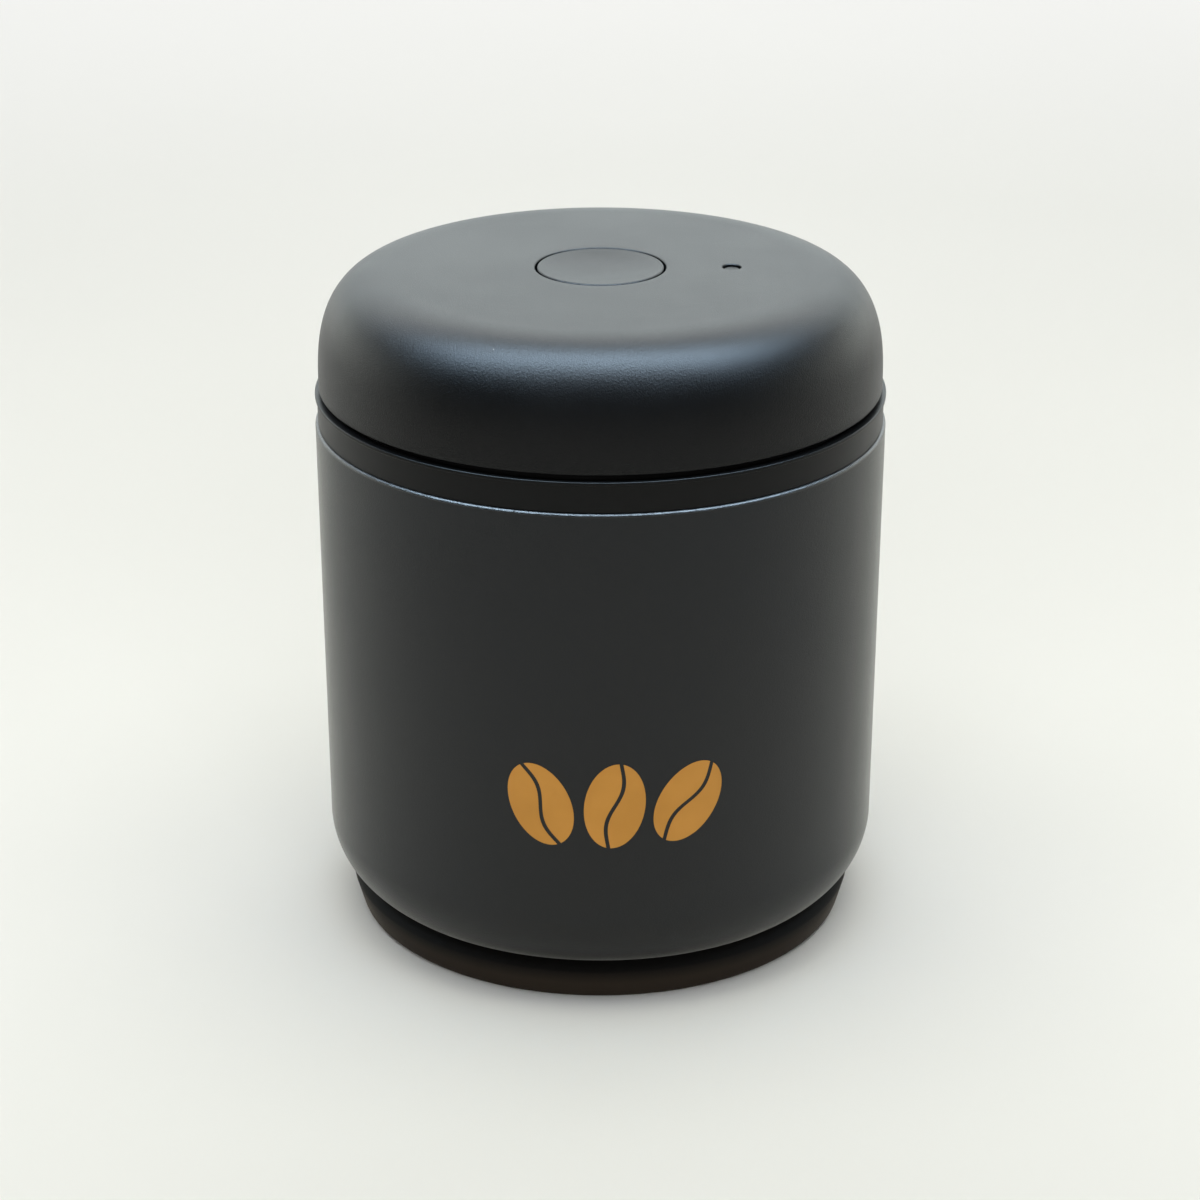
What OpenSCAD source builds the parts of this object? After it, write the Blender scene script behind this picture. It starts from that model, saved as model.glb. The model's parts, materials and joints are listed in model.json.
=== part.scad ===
// Coffee canister with a twist-pump vacuum lid.
// Millimetres, +Z up. The origin is the centre of the foot's underside and the front faces -Y.
// The lid base with its plug stands still in the can. The domed cap turns on it and carries two
// pump cylinders. Each piston holds a pin whose shoe runs in the wavy track of the lid base, so
// turning the cap one way lifts one piston and lowers the other.

/* [Can] */
// Outer diameter of the can at its rim
can_d = 122; // [118:0.5:130]
// Height of the can's rim above the table
rim_z = 112.7; // [100:0.1:190]
// Thickness of the coated steel wall
can_wall = 1.2; // [0.8:0.1:1.6]
// Radius that the wall loses from the rim down to the bottom corner
can_taper = 0.7; // [0:0.1:1.2]
// Outer radius of the can's bottom corner
corner_r = 16; // [13:0.5:18]
// Rounding of the two edges of the rim
rim_round = 0.45; // [0.2:0.05:0.5]

/* [Foot] */
// Height of the can's floor above the table
foot_h = 6; // [5:0.5:9]
// Distance of the foot's side inside the can's wall
foot_inset = 6.7; // [5.8:0.1:10]
// Radius that the foot gains from its bottom edge up to its shoulder
foot_flare = 2; // [0:0.1:2.5]
// Height of the foot's top, where it is tucked under the corner of the can
foot_top = 9.5; // [9:0.1:11]
// Rounding of the foot's bottom edge
foot_round = 2; // [1:0.1:3]
// Rounding of the foot's shoulder, which leaves a dark seam under the can
foot_shoulder = 2.5; // [1:0.1:3.5]

/* [Collar] */
// Height of the collar band above the can's rim
collar_h = 6.7; // [5.5:0.1:9]
// Distance of the collar band's face inside the can's rim
collar_inset = 0.55; // [0.3:0.05:1.5]
// Thickness of the collar band
collar_wall = 1.6; // [1.2:0.1:2]
// How far the collar's top lip stands out of the band
lip_out = 0.45; // [0.2:0.05:0.6]
// Height of the lip
lip_h = 0.8; // [0.5:0.1:1.2]
// Thickness of the web that joins the collar to the plug
web_t = 2.2; // [1.6:0.1:3]
// Small chamfer at the seam between collar and can
seam_chamfer = 0.3; // [0.1:0.05:0.4]

/* [Plug] */
// Gap between the plug and the can's wall
plug_gap = 2.8; // [2.3:0.1:3.8]
// Depth of the plug's floor below the can's rim
plug_depth = 32.7; // [31:0.1:36]
// Thickness of the plug's upper wall
plug_wall = 3; // [2.6:0.1:3.2]
// Thickness of the plug's floor
plug_floor = 2.5; // [2:0.1:3.5]
// Width of the ledge that the lower cam ring stands on
cam_ledge = 1.5; // [1:0.1:2]
// Rounding of the plug's bottom edge
plug_round = 2; // [1:0.1:3]
// Length of the hub's bearing in the plug's floor
bearing_h = 5; // [4:0.1:5.5]
// Thickness of the wall round the hub's bearing
bearing_wall = 6; // [4:0.5:7]

/* [Gasket] */
// Depth of the gasket groove in the plug's wall
groove_depth = 1.4; // [1:0.1:1.6]
// Height of the gasket groove
groove_h = 8; // [6:0.5:8.5]
// Distance of the gasket groove's top below the can's rim
groove_drop = 5.7; // [4:0.1:6.5]
// How far the gasket's body stands out of the plug
gasket_out = 0.8; // [0.4:0.1:1.2]
// Gap between the gasket's relaxed lips and the can
gasket_gap = 0.3; // [0.3:0.05:0.6]
// Thickness of a gasket lip at its edge
lip_edge = 0.5; // [0.4:0.1:0.8]

/* [Filter] */
// Depth of the skirt that the filter cover clips onto
skirt_h = 5.4; // [5:0.1:6.5]
// Distance of that skirt inside the plug's wall
skirt_inset = 6.1; // [5:0.1:9]
// Thickness of the skirt
skirt_wall = 1.9; // [1.5:0.1:2.4]
// Thickness of the felt filter
filter_t = 1.8; // [1.2:0.1:2.4]
// Thickness of the filter cover
cover_t = 1.5; // [1.2:0.1:2]
// Diameter of a hole in the filter cover
cover_hole_d = 4.2; // [3:0.2:5]
// Distance between the rings of holes in the filter cover
cover_pitch = 9; // [8:0.5:9.5]
// Number of rings of holes in the filter cover
cover_rings = 4; // [2:1:4]

/* [Twist] */
// Turn of the cap each way, in degrees
twist_deg = 40; // [30:1:42]
// Travel of a piston up and down from its middle
half_stroke = 5; // [4:0.1:5.3]
// Extra turn before the track levels out, in degrees
track_margin = 2; // [1:0.5:4]
// Least height of the cam rings under and over the track
cam_web = 3; // [2:0.1:3.5]
// Width of the cam rings
cam_w = 7.4; // [6.4:0.1:7.8]
// Thickness of the upper cam ring's flange
cam_flange = 1; // [0.8:0.1:1.4]
// Height of the upper cam ring's flange above its wave
cam_cover = 0.6; // [0.4:0.1:1]
// Number of screws that hold the upper cam ring
cam_screw_count = 6; // [4:1:8]
// Thickness of the glide ring under the cap
glide_t = 0.8; // [0.6:0.1:1.2]
// Width of the glide ring
glide_w = 4; // [3:0.5:4.5]

/* [Dome] */
// Height of the open gap between the collar's lip and the cap
twist_gap = 1.25; // [1:0.05:2]
// Distance of the cap's wall inside the collar band
dome_inset = 0.35; // [0:0.05:1.5]
// Height of the cap from its bottom edge to the edge of its flat top
dome_h = 24.55; // [22:0.05:28]
// Width of the rounded shoulder
shoulder_w = 17.8; // [14:0.2:20]
// Height of the rounded shoulder
shoulder_h = 23.4; // [18:0.1:23.6]
// Squareness of the shoulder's curve: 2 is an ellipse, more is squarer
shoulder_n = 2.74; // [2.2:0.02:3.2]
// Rise of the top from its edge to its middle
crown = 0.36; // [0.1:0.02:0.8]
// Thickness of the cap
dome_wall = 2; // [1.6:0.1:2.4]
// Rounding of the cap's bottom edge
edge_round = 0.4; // [0.2:0.05:0.6]
// Depth of the cap's hidden rib in the collar's channel
rib_drop = 3.7; // [2.5:0.1:4]
// Number of stiffening ribs under the cap
stiffener_count = 6; // [3:3:6]
// Thickness of a stiffening rib
stiffener_t = 1.4; // [1:0.1:2]

/* [Button] */
// Diameter of the button
button_d = 26.8; // [24:0.2:27.2]
// Width of the open groove round the button
button_groove = 0.6; // [0.4:0.05:0.8]
// Height of the button
button_h = 8.9; // [7.5:0.1:9.2]
// Thickness of the button's top and skirt
button_wall = 1.6; // [1.2:0.1:2]
// Depth of the dish in the button's top
dish_depth = 1.1; // [0.6:0.1:1.4]
// Width of the level rim round the dish
dish_rim = 0.9; // [0.5:0.1:1.5]
// Travel of the button
button_travel = 2.5; // [2:0.1:2.8]
// Gap between the pressed button and the screws under it
button_stop = 1.2; // [0.8:0.1:2]
// Thickness of the well's floor
well_floor = 2.5; // [2:0.1:3]
// Thickness of the well's wall
well_wall = 1.8; // [1.4:0.1:2.2]
// Diameter of the valve stem
stem_d = 4; // [3:0.2:4.4]
// Diameter of the button spring's wire
wire_d = 1; // [0.8:0.1:1.1]
// Turns of the button spring
spring_turns = 5; // [4:1:6]

/* [Pump] */
// Diameter of a pump cylinder's bore
bore_d = 22; // [20:0.5:22.4]
// Thickness of a cylinder's wall
cylinder_wall = 1.8; // [1.4:0.1:2]
// Distance of a cylinder's axis from the middle
bore_offset = 26; // [25:0.2:27]
// Height of a cylinder above the pump's plate
cylinder_h = 26; // [25:0.5:27]
// Gap between the pump's plates and the cam rings
plate_gap = 1.5; // [0.8:0.1:3]
// Thickness of the pump's plate
plate_t = 2; // [1.6:0.1:2.4]
// Thickness of the manifold plate
manifold_t = 2; // [1.8:0.1:2.4]
// Width of an air channel in the manifold plate
channel_w = 4; // [3:0.5:5]
// Depth of an air channel in the manifold plate
channel_h = 1.2; // [0.8:0.1:1.3]
// Thickness of a piston's crown
crown_t = 4; // [3.6:0.1:4.4]
// Gap between piston and cylinder
piston_gap = 0.3; // [0.2:0.05:0.4]
// Thickness of a piston's seal
piston_seal_d = 2; // [1.6:0.1:2.2]
// Diameter of a piston's post
post_d = 9; // [8:0.5:10]
// Gap under a piston at the bottom of its stroke
floor_gap = 1.2; // [1:0.1:1.5]
// Diameter of a follower pin
pin_d = 3; // [2.6:0.1:3.2]
// Diameter of a follower shoe
shoe_d = 5; // [4.6:0.1:5.4]
// Length of a follower shoe
shoe_l = 5; // [4:0.1:5.2]

/* [Hub] */
// Diameter of the hub that turns in the plug's floor
hub_d = 20; // [18:0.5:22]
// Diameter of the air passage in the hub
hub_bore_d = 12; // [11:0.5:13]
// Thickness of the hub's seal
hub_seal_d = 1.6; // [1.4:0.1:1.8]
// Thickness of the clip that holds the hub
clip_t = 1; // [0.8:0.1:1.2]
// Width of that clip
clip_w = 3.1; // [2.6:0.1:3.6]
// Thickness of the thrust washer
washer_t = 0.8; // [0.6:0.1:1]

/* [Valves] */
// Diameter of the release valve's seal
valve_d = 10; // [9:0.2:10.4]
// Thickness of the release valve's seal
valve_t = 2; // [1.6:0.1:2.2]
// Diameter of the hole that the release valve closes
valve_hole_d = 7; // [6:0.2:7.4]
// Diameter of an inlet valve's disc
inlet_d = 8.4; // [7:0.2:9]
// Diameter of an outlet valve's disc
outlet_d = 5; // [4.4:0.2:5.4]
// Thickness of a valve's disc
flap_t = 0.8; // [0.6:0.1:0.9]

/* [Indicator] */
// Distance of the indicator from the middle
indicator_x = 27.7; // [27:0.1:29]
// Diameter of the indicator's hole in the cap
indicator_hole_d = 4; // [3.6:0.1:4.4]
// Gap round the indicator's pin
indicator_gap = 0.25; // [0.2:0.05:0.3]
// Depth of the pin's top below the cap
indicator_recess = 0.45; // [0.2:0.05:0.8]
// Travel of the indicator's pin
indicator_travel = 2; // [1.5:0.1:2.2]
// Outer diameter of the cup under the indicator
cup_d = 16; // [15:0.5:17]
// Thickness of the diaphragm
diaphragm_t = 0.8; // [0.6:0.1:1]
// Diameter of the indicator spring's wire
small_wire_d = 0.5; // [0.4:0.05:0.6]

/* [Fits] */
// Running clearance between a shaft and its hole
run = 0.05; // [0.03:0.01:0.08]
// Clearance between pieces that slide past each other
slide_gap = 0.3; // [0.25:0.05:0.35]
// Clearance between level faces that turn on each other
turn_gap = 0.2; // [0.1:0.05:0.25]
// Clearance of a piece that is pushed into its seat
seat = 0.02; // [0.01:0.01:0.04]
// Gap beside a piece that is laid in its place
fit_gap = 0.1; // [0.05:0.05:0.15]

/* [Hidden] */
$fn = 72;

// How far a cutting shape runs past the face it cuts, and how far a rib sinks into its wall
past = 1;
sink = 0.5;

// Colours as the photo shows them, and plain ones for what is hidden
coat = [0.10, 0.10, 0.11];
cap_black = [0.12, 0.12, 0.13];
collar_black = [0.08, 0.08, 0.09];
foot_brown = [0.13, 0.12, 0.11];
silicone = [0.62, 0.63, 0.64];
nylon = [0.86, 0.85, 0.82];
acetal = [0.93, 0.93, 0.92];
steel = [0.66, 0.67, 0.69];
felt = [0.80, 0.78, 0.72];

// Can
can_r = can_d / 2;
corner_z = foot_h + corner_r;
low_r = can_r - can_taper;
function can_out_r(z) = low_r + can_taper * (z - corner_z) / (rim_z - corner_z);
function can_in_r(z) = can_out_r(z) - can_wall;

// Foot
foot_r = low_r - foot_inset;
foot_out_r = foot_r + foot_flare;

// Lid base
collar_r = can_r - collar_inset;
plug_r = can_r - can_wall - plug_gap;
plug_in_r = plug_r - plug_wall;
lip_z = rim_z + collar_h;
plug_z = rim_z - plug_depth;
deck_z = plug_z + plug_floor;
groove_z = rim_z - groove_drop - groove_h;
gasket_seat_r = plug_r - groove_depth;
channel_r = collar_r - collar_wall;
hub_r = hub_d / 2;
bearing_z = deck_z - bearing_h;
bearing_r = hub_r + bearing_wall;
skirt_r = plug_r - skirt_inset;
skirt_z = plug_z - skirt_h;
washer_inset = 0.5;
lip_round = lip_h / 4;

// Gasket: where its two lips stand in the groove, and the outline of a lip round its own height
lip_places = [0.3, 0.75];
lip_root_low = 0.3;
lip_root_high = 1;
lip_drop = 0.4;

// Filter under the plug: cover, then felt, then the skirt
filter_z = skirt_z - turn_gap - filter_t;
cover_z = filter_z - cover_t;
cover_r = skirt_r + fit_gap + cover_t;

// Pump, from the plug's floor up
manifold_z = deck_z + washer_t + turn_gap;
plate_z = manifold_z + manifold_t;
pump_z = plate_z + plate_t;
bore_r = bore_d / 2;
piston_z = pump_z + floor_gap + half_stroke;
crown_z = piston_z + crown_t;
slot_z = crown_z + half_stroke + slide_gap;
pin_z = slot_z + slide_gap + pin_d / 2 + half_stroke;
post_over = 2;
post_top = pin_z + pin_d / 2 + post_over;
manifold_screw_inset = 4;
manifold_boss_r = 3;
manifold_boss_h = 5;

// Hub
clip_depth = 1.2;
clip_seat_r = hub_r - clip_depth;
clip_z = bearing_z - turn_gap - clip_t;
clip_mouth = 0.7;
hub_end_z = skirt_z + turn_gap;
hub_seal_z = deck_z - bearing_h / 2;

// Umbrella valves
valve_peg_r = 1;
port_r = 0.9;
port_inset = 1.5;
valve_margin = 0.3;
outlet_offset = post_d / 2 + outlet_d / 2 + valve_margin;

// Track of the follower shoes
track_rise = half_stroke * (twist_deg + track_margin) / twist_deg;
track_half = shoe_d / 2 + slide_gap + run;
ledge_z = pin_z - track_rise - track_half - cam_web;
cam_out_r = plug_in_r - fit_gap;
cam_in_r = cam_out_r - cam_w;
flange_z = pin_z + track_rise + track_half + cam_cover;
flange_r = plug_r - 2 * fit_gap;
glide_z = flange_z + cam_flange;
glide_inset = 2;
glide_r = cam_in_r + glide_inset;
rail_z = glide_z + glide_t + turn_gap;
rail_inset = 0.5;
shoe_inset = 0.7;
shoe_r0 = cam_in_r + shoe_inset;
plate_r = cam_in_r - plate_gap;
pin_past_shoe = 0.4;
cam_flange_step = 0.6;
cam_steps = 72;
function wave(a) = max(-1, min(1, (a < 180 ? a - 90 : 270 - a) / (twist_deg + track_margin)));
function track_z(a) = pin_z + track_rise * wave(a);

// Cap
dome_r = collar_r - dome_inset;
skirt_edge_z = lip_z + twist_gap;
flat_z = skirt_edge_z + dome_h;
top_r = dome_r - shoulder_w;
function top_z(r) = flat_z + crown * (1 - r * r / (top_r * top_r));
dome_steps = 36;
crown_steps = 6;

// Button, its well, and the tower that the well stands on
button_r = button_d / 2;
button_top = top_z(button_r);
button_z = button_top - button_h;
button_roof = button_top - dish_depth - button_wall;
shell_head_t = 1.7;
well_r = button_r + button_groove;
well_z = button_z - button_travel - button_stop - shell_head_t;
tower_z = well_z - well_floor;
tower_r = 9;
tower_bore_r = 7;
tower_flange_r = 14;
tower_flange_t = 2.5;
shell_screw_r = 10.3;
shell_screw_d = 2.6;
shell_screw_l = 9;
shell_head_d = 4.8;
shell_hex_d = 1.8;
screw_boss_r = 2.8;
screw_boss_floor = 2;
rib_in_r = plug_r + slide_gap + run;
rib_out_r = channel_r - slide_gap;
rib_web_low = 0.6;
rib_web_top = 2;
stiffener_h = 4;
stiffener_end_r = glide_r + 1;
stiffener_turn = 30;

// Release valve
socket_wall = 1.6;
socket_r = stem_d / 2 + socket_wall;
stem_drop = 1.1;
stem_top = button_roof - stem_drop;
stem_gap = 0.6;
stem_hole_r = stem_d / 2 + stem_gap;
valve_top = plate_z - fit_gap;
valve_z = valve_top - valve_t;
valve_foot_t = 1.2;
valve_foot_inset = 0.8;
spring_gap = 0.9;
spring_r = socket_r + spring_gap + wire_d / 2;

// Indicator
hole_r = indicator_hole_d / 2;
indicator_pin_r = hole_r - indicator_gap;
pin_top = top_z(indicator_x) - indicator_recess;
cup_r = cup_d / 2;
cup_wall = 1.8;
cup_in_r = cup_r - cup_wall;
cup_drop = 4.7;
diaphragm_z = flat_z - dome_wall - cup_drop;
small_turns = 3;
cup_floor = 1.5;
cup_h = cup_floor + indicator_travel + (small_turns + 1) * small_wire_d;
cup_z = diaphragm_z - cup_h;
column_r = 4.5;
column_bore_r = 1.5;
pin_flange_inset = 1.7;
pin_flange_r = cup_in_r - pin_flange_inset;
pin_flange_t = 1;

// Screws of the pump and of the cam ring
manifold_screw_r = plate_r - manifold_screw_inset;
manifold_screw_count = 6;
manifold_screw_d = 2.2;
manifold_head_d = 4.2;
manifold_head_t = 1;
manifold_screw_l = 8;
cam_screw_r = (plug_in_r + flange_r) / 2;
cam_screw_d = 1.8;
cam_head_d = 2.4;
cam_screw_l = 7;

// Small shapes used in several pieces

// A ring with square edges
module ring(r_in, r_out, z0, z1) {
    translate([0, 0, z0]) difference() {
        cylinder(r = r_out, h = z1 - z0);
        translate([0, 0, -past]) cylinder(r = r_in, h = z1 - z0 + 2 * past);
    }
}

// A rectangle of a turned profile, from radius r0 to r1 and from height z0 to z1
module band(r0, r1, z0, z1) {
    translate([r0, z0]) square([r1 - r0, z1 - z0]);
}

// What a rounding takes off a corner of a turned profile: (x, z) is the corner,
// sx and sz point into the piece
module corner_cut(x, z, r, sx, sz) {
    difference() {
        translate([x + (sx < 0 ? -r : -past), z + (sz < 0 ? -r : -past)]) square([r + past, r + past]);
        translate([x + sx * r, z + sz * r]) circle(r = r);
    }
}

// Copies of the children on a circle
module on_circle(count, r, first = 0) {
    for (i = [0 : count - 1]) rotate([0, 0, first + 360 * i / count]) translate([r, 0, 0]) children();
}

// A ring whose lower and upper faces follow two lists of heights
module wavy_ring(r_in, r_out, low, high) {
    n = len(low);
    points = [for (i = [0 : n - 1]) let (a = 360 * i / n)
        each [[r_in * cos(a), r_in * sin(a), low[i]], [r_out * cos(a), r_out * sin(a), low[i]],
              [r_out * cos(a), r_out * sin(a), high[i]], [r_in * cos(a), r_in * sin(a), high[i]]]];
    faces = [for (i = [0 : n - 1]) let (p = 4 * i, q = 4 * ((i + 1) % n))
        each [[p + 1, p + 2, q + 2], [p + 1, q + 2, q + 1], [p, q, q + 3], [p, q + 3, p + 3],
              [p + 3, q + 3, q + 2], [p + 3, q + 2, p + 2], [p, p + 1, q + 1], [p, q + 1, q]]];
    polyhedron(points, faces);
}

// One unbroken wire wound round the Z axis
module coil(r, wire_r, z0, z1, turns, rings = 8, sides = 6) {
    n = turns * rings;
    points = [for (i = [0 : n]) let (a = 360 * i / rings, z = z0 + (z1 - z0) * i / n)
        for (k = [0 : sides - 1]) let (b = 360 * k / sides, w = r + wire_r * cos(b))
            [w * cos(a), w * sin(a), z + wire_r * sin(b)]];
    sleeve = [for (i = [0 : n - 1]) for (k = [0 : sides - 1])
        let (p = i * sides, q = p + sides, m = (k + 1) % sides)
            each [[p + k, q + m, q + k], [p + k, p + m, q + m]]];
    ends = [for (k = [1 : sides - 2]) each [[0, k + 1, k], [n * sides, n * sides + k, n * sides + k + 1]]];
    polyhedron(points, concat(sleeve, ends));
}

// Can

// Outer shape of the can, grown by a gap
module can_outline(grow = 0) {
    polygon([[0, foot_h - grow], [low_r - corner_r, foot_h - grow], [low_r - corner_r, corner_z],
        [low_r + grow, corner_z], [can_r + grow, rim_z], [0, rim_z]]);
    intersection() {
        translate([low_r - corner_r, corner_z]) circle(r = corner_r + grow);
        translate([low_r - corner_r, foot_h - grow]) square([corner_r + grow, corner_r + grow]);
    }
}

// Inner shape of the can
module can_hollow() {
    in_r = corner_r - can_wall;
    polygon([[0, foot_h + can_wall], [low_r - corner_r, foot_h + can_wall],
        [low_r - corner_r, corner_z], [low_r - can_wall, corner_z],
        [can_r - can_wall, rim_z], [can_r - can_wall, rim_z + past], [0, rim_z + past]]);
    intersection() {
        translate([low_r - corner_r, corner_z]) circle(r = in_r);
        translate([low_r - corner_r, foot_h + can_wall]) square([in_r, in_r]);
    }
}

module canister_body() {
    color(coat) rotate_extrude() difference() {
        can_outline();
        can_hollow();
        corner_cut(can_r, rim_z, rim_round, -1, -1);
        corner_cut(can_r - can_wall, rim_z, rim_round, 1, -1);
    }
}

module base_foot() {
    color(foot_brown) rotate_extrude() difference() {
        polygon([[0, 0], [foot_r, 0], [foot_r, foot_round], [foot_out_r, foot_top - foot_shoulder],
            [foot_out_r, foot_top], [0, foot_top]]);
        can_outline(run);
        corner_cut(foot_r, 0, foot_round, -1, 1);
        corner_cut(foot_out_r, foot_top, foot_shoulder, -1, -1);
    }
}

// Lid base

module lid_base() {
    color(collar_black) difference() {
        rotate_extrude() difference() {
            union() {
                band(hub_r + run, plug_r, plug_z, deck_z);
                band(hub_r + run, bearing_r, bearing_z, deck_z);
                band(plug_in_r - cam_ledge, plug_r, plug_z, ledge_z);
                band(plug_in_r, plug_r, plug_z, flange_z);
                band(plug_in_r, collar_r, rim_z, rim_z + web_t);
                band(channel_r, collar_r, rim_z, lip_z);
                band(channel_r, collar_r + lip_out, lip_z - lip_h, lip_z);
                band(skirt_r - skirt_wall, skirt_r, skirt_z, deck_z);
            }
            band(gasket_seat_r, plug_r + past, groove_z, groove_z + groove_h);
            corner_cut(plug_r, plug_z, plug_round, -1, 1);
            corner_cut(collar_r + lip_out, lip_z, lip_round, -1, -1);
            corner_cut(collar_r + lip_out, lip_z - lip_h, lip_round, -1, 1);
            corner_cut(collar_r, rim_z, seam_chamfer, -1, 1);
        }
        on_circle(cam_screw_count, cam_screw_r) translate([0, 0, flange_z - cam_screw_l - past])
            cylinder(d = cam_screw_d + 2 * seat, h = cam_screw_l + 2 * past);
    }
}

// Outline of one lip of the gasket, which points down and out to the can's wall
function gasket_lip(z, root_r, edge_r) =
    [[root_r, z - lip_root_low], [edge_r, z - lip_drop - lip_edge],
     [edge_r, z - lip_drop], [root_r, z + lip_root_high]];

module main_gasket() {
    in_r = gasket_seat_r + seat;
    root_r = plug_r + gasket_out;
    edge_r = can_in_r(groove_z) - gasket_gap;
    low = groove_z + seat;
    high = groove_z + groove_h - seat;
    color(silicone) rotate_extrude() polygon(concat(
        [[in_r, low], [root_r, low]],
        gasket_lip(groove_z + groove_h * lip_places[0], root_r, edge_r),
        gasket_lip(groove_z + groove_h * lip_places[1], root_r, edge_r),
        [[root_r, high], [in_r, high]]));
}

module lower_cam_ring() {
    angles = [for (i = [0 : cam_steps - 1]) 360 * i / cam_steps];
    color(acetal) wavy_ring(cam_in_r, cam_out_r, [for (a = angles) ledge_z],
        [for (a = angles) track_z(a) - track_half]);
}

module upper_cam_ring() {
    angles = [for (i = [0 : cam_steps - 1]) 360 * i / cam_steps];
    color(acetal) {
        wavy_ring(cam_in_r, cam_out_r, [for (a = angles) track_z(a) + track_half],
            [for (a = angles) flange_z + cam_flange / 4]);
        difference() {
            ring(cam_in_r + cam_flange_step, flange_r, flange_z, glide_z);
            on_circle(cam_screw_count, cam_screw_r) {
                translate([0, 0, flange_z - past])
                    cylinder(d = cam_screw_d + 2 * seat, h = cam_flange + 2 * past);
                translate([0, 0, glide_z - cam_flange / 2])
                    cylinder(d = cam_head_d + 2 * seat, h = cam_flange);
            }
        }
    }
}

module cam_screws() {
    color(steel) on_circle(cam_screw_count, cam_screw_r) {
        translate([0, 0, flange_z - cam_screw_l]) cylinder(d = cam_screw_d, h = cam_screw_l + cam_flange / 2);
        translate([0, 0, glide_z - cam_flange / 2]) cylinder(d = cam_head_d, h = cam_flange / 2);
    }
}

module glide_ring() {
    color(nylon) ring(glide_r, glide_r + glide_w, glide_z, glide_z + glide_t);
}

module thrust_washer() {
    color(nylon) ring(hub_r + slide_gap, bearing_r - washer_inset, deck_z, deck_z + washer_t);
}

module filter_disc() {
    color(felt) translate([0, 0, filter_z]) cylinder(r = skirt_r - fit_gap, h = filter_t);
}

module filter_cover() {
    color(collar_black) difference() {
        translate([0, 0, cover_z]) cylinder(r = cover_r, h = plug_z - turn_gap - cover_z);
        translate([0, 0, filter_z]) cylinder(r = skirt_r + fit_gap, h = plug_z);
        for (i = [1 : cover_rings])
            on_circle(6 * i, cover_pitch * i)
                translate([0, 0, cover_z - past]) cylinder(d = cover_hole_d, h = cover_t + 2 * past);
    }
}

// Turning cap

// Points of a rounded shoulder, from its outer edge up to the flat top
function shoulder(grow) = [for (i = [0 : dome_steps]) let (t = 90 * i / dome_steps)
    [top_r + (shoulder_w + grow) * pow(cos(t), 2 / shoulder_n),
     flat_z - shoulder_h + (shoulder_h + grow) * pow(sin(t), 2 / shoulder_n)]];

// Points of the slightly raised top, from the shoulder to the middle
function raised_top(grow) = [for (i = [1 : crown_steps]) let (r = top_r * (1 - i / crown_steps))
    [r, top_z(r) + grow]];

module cap_outline(grow, bottom) {
    polygon(concat([[0, bottom], [dome_r + grow, bottom]], shoulder(grow), raised_top(grow)));
}

module lid_shell() {
    roof = flat_z - dome_wall / 2;
    wall_r = dome_r - dome_wall / 2;
    rib_z = skirt_edge_z - rib_drop;
    rib_top_z = skirt_edge_z + rib_web_top;
    color(cap_black) difference() {
        union() {
            rotate_extrude() difference() {
                cap_outline(0, skirt_edge_z);
                cap_outline(-dome_wall, skirt_edge_z - past);
                corner_cut(dome_r, skirt_edge_z, edge_round, -1, 1);
            }
            // hidden rib that runs in the collar's channel
            rotate_extrude() {
                band(rib_in_r, rib_out_r, rib_z, rib_top_z);
                band(rib_in_r, wall_r, skirt_edge_z + rib_web_low, rib_top_z);
            }
            // rail that rests on the glide ring, kept inside the shoulder
            rotate_extrude() intersection() {
                band(glide_r + rail_inset, glide_r + glide_w - rail_inset, rail_z, flat_z);
                cap_outline(-dome_wall / 2, rail_z - past);
            }
            // well of the button
            translate([0, 0, tower_z]) cylinder(r = well_r + well_wall, h = roof - tower_z);
            // boss that presses the diaphragm on its cup
            translate([indicator_x, 0, diaphragm_z + diaphragm_t])
                cylinder(r = cup_r, h = roof - diaphragm_z - diaphragm_t);
            for (i = [0 : stiffener_count - 1]) rotate([0, 0, stiffener_turn + 360 * i / stiffener_count])
                translate([well_r, -stiffener_t / 2, flat_z - dome_wall - stiffener_h])
                    cube([stiffener_end_r - well_r, stiffener_t, stiffener_h + sink]);
        }
        translate([0, 0, well_z]) cylinder(r = well_r, h = flat_z + crown + past - well_z);
        translate([0, 0, tower_z - past]) cylinder(r = stem_hole_r, h = well_floor + 2 * past);
        on_circle(3, shell_screw_r, 90) translate([0, 0, tower_z - past])
            cylinder(d = shell_screw_d + 2 * run, h = well_floor + 2 * past);
        translate([indicator_x, 0, tower_z]) cylinder(r = hole_r, h = flat_z + crown + past - tower_z);
        translate([indicator_x, 0, diaphragm_z]) cylinder(r = cup_in_r, h = flat_z - dome_wall - diaphragm_z);
    }
}

module shell_screws() {
    color(steel) on_circle(3, shell_screw_r, 90) {
        translate([0, 0, tower_z - shell_screw_l])
            cylinder(d = shell_screw_d, h = shell_screw_l + well_floor);
        difference() {
            translate([0, 0, well_z]) cylinder(d = shell_head_d, h = shell_head_t);
            translate([0, 0, well_z + shell_head_t / 2]) cylinder(d = shell_hex_d, h = shell_head_t, $fn = 6);
        }
    }
}

// Holes of an inlet valve, at the foot of a cylinder
module inlet_ports() {
    translate([0, 0, plate_z - past]) cylinder(r = valve_peg_r + run, h = plate_t + 2 * past);
    on_circle(4, inlet_d / 2 - port_inset, 45)
        translate([0, 0, plate_z - past]) cylinder(r = port_r, h = plate_t + 2 * past);
}

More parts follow.
